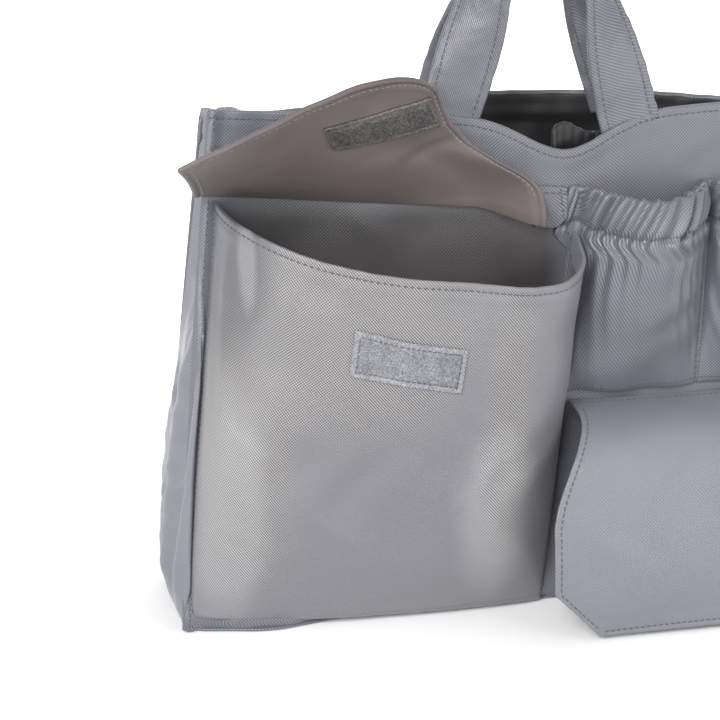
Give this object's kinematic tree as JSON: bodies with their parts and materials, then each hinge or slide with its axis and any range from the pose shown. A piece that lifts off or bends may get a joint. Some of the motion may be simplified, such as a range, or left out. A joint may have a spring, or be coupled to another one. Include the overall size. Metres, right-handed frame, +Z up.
{
  "type": "bag organizer insert",
  "caption": "Soft twill bag organizer, an open fabric box with a flapped patch pocket, elastic bays, a gusseted flap pocket and carrying handles.",
  "frame": {"origin": "middle of the base's underside, where the bag stands", "axes": "+Z up, +X to the right along the front, front with the pockets towards -Y"},
  "size_m": [0.3486, 0.151, 0.3207],
  "materials": {
    "twill": "satin grey polyester twill",
    "lining": "smooth dark grey lining",
    "coated": "smooth warm grey coated side",
    "loop_tape": "fuzzy grey loop tape",
    "hook_tape": "grey hook tape",
    "elastic": "woven elastic",
    "board": "matte stiffener board"
  },
  "bodies": {
    "shell": {"front_panel": "twill", "front_lining": "lining", "back_panel": "twill", "back_lining": "lining", "left_end_panel": "twill", "left_end_lining": "lining", "left_rim_elastic": "elastic", "right_end_panel": "twill", "right_end_lining": "lining", "right_rim_elastic": "elastic", "base_panel": "twill", "base_board": "board", "base_lining": "lining", "diaper_pocket": "twill", "pocket_loop_strip": "loop_tape", "bottle_pocket": "twill", "bottle_pocket_left_elastic": "elastic", "bottle_pocket_right_elastic": "elastic", "lower_pocket_front": "twill", "lower_pocket_gusset": "twill", "lower_loop_strip": "loop_tape", "inner_pocket": "lining"},
    "flap_root": {"diaper_flap_root": "twill", "diaper_flap_root_lining": "coated"},
    "flap_tip": {"diaper_flap_tip": "twill", "diaper_flap_tip_lining": "coated", "flap_hook_strip": "hook_tape"},
    "lower_flap": {"lower_flap": "twill", "lower_flap_lining": "coated", "lower_hook_strip": "hook_tape"},
    "front_handle": {"front_handle": "twill"},
    "back_handle": {"back_handle": "twill"}
  },
  "joints": [
    {"name": "flap_hinge", "type": "hinge", "parent": "shell", "child": "flap_root", "pos_m": [-0.14874, -0.02557, 0.207], "axis": [0.9934, -0.0951, -0.0642], "range_deg": [-8, 38]},
    {"name": "flap_fold", "type": "hinge", "parent": "flap_root", "child": "flap_tip", "pos_m": [-0.16195, -0.06779, 0.22315], "axis": [0.9861, 0.0794, 0.1461], "range_deg": [0, 45]},
    {"name": "lower_flap_hinge", "type": "hinge", "parent": "shell", "child": "lower_flap", "pos_m": [0.01765, -0.03764, 0.102], "axis": [0.9993, 0.0361, 0], "range_deg": [-52, 0]},
    {"name": "front_handle_swing", "type": "hinge", "parent": "shell", "child": "front_handle", "pos_m": [0, -0.03404, 0.24226], "axis": [0.9996, -0.0282, 0], "range_deg": [-20, 35]},
    {"name": "back_handle_swing", "type": "hinge", "parent": "shell", "child": "back_handle", "pos_m": [0.014, 0.02911, 0.24294], "axis": [0.9977, -0.0672, 0], "range_deg": [-92, 20]}
  ]
}
